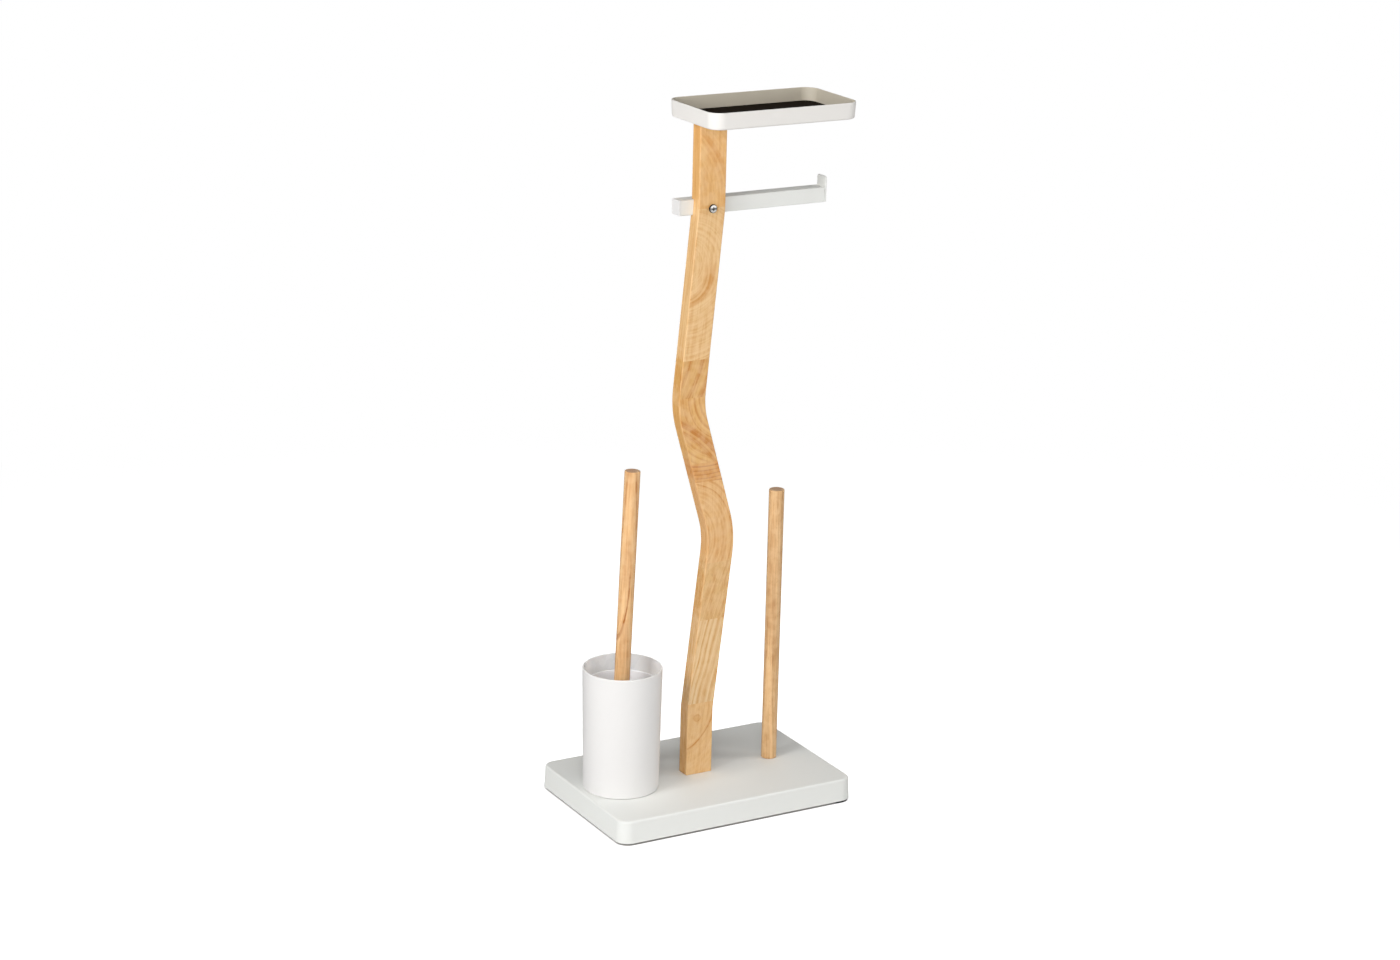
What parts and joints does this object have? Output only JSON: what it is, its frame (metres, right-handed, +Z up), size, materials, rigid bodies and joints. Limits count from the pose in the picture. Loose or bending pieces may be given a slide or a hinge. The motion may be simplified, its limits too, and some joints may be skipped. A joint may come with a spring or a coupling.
{
  "type": "toilet butler stand",
  "caption": "Free-standing bathroom butler: weighted white base, S-shaped wooden post with open tray and roll bar, spare-roll rod, and a brush in a lined cup.",
  "frame": {"origin": "on the floor, under the middle of the base", "axes": "+Z up, +X along the base's long side from the brush cup to the spare-roll rod, +Y from the front to the back"},
  "size_m": [0.3, 0.2, 0.8],
  "materials": {
    "white_paint": "fine powder coat",
    "fibreboard": "raw board",
    "black_rubber": "matte",
    "mat_rubber": "matte",
    "zinc": "zinc plated",
    "chrome": "polished",
    "post_wood": "clear satin lacquer",
    "dowel_wood": "clear satin lacquer",
    "white_plastic": "satin",
    "liner_plastic": "satin",
    "bristle_plastic": "satin"
  },
  "bodies": {
    "stand": {"base_shell": "white_paint", "base_core": "fibreboard", "foot_front_left": "black_rubber", "foot_front_right": "black_rubber", "foot_back_left": "black_rubber", "foot_back_right": "black_rubber", "washer_post_left": "zinc", "washer_post_right": "zinc", "washer_rod": "zinc", "washer_cup": "zinc", "screw_post_left": "zinc", "screw_post_right": "zinc", "screw_rod": "zinc", "screw_cup": "zinc", "post": "post_wood", "tray": "white_paint", "tray_mat": "mat_rubber", "screw_tray_left": "zinc", "screw_tray_right": "zinc", "roll_bar": "white_paint", "bar_end_cap": "white_plastic", "bar_stop_plate": "white_paint", "bar_nut": "zinc", "bar_screw": "chrome", "spare_roll_rod": "dowel_wood", "brush_cup": "white_plastic", "cup_nut": "zinc"},
    "liner": {"cup_liner": "liner_plastic"},
    "brush": {"brush_bristles": "bristle_plastic", "brush_core": "white_plastic", "brush_neck": "white_plastic", "brush_stud": "zinc", "brush_handle": "dowel_wood"}
  },
  "joints": [
    {"name": "liner_lift", "type": "slide", "parent": "stand", "child": "liner", "axis": [0, 0, 1], "range_m": [0, 0.16]},
    {"name": "brush_lift", "type": "slide", "parent": "liner", "child": "brush", "axis": [0, 0, 1], "range_m": [0, 0.16]}
  ]
}
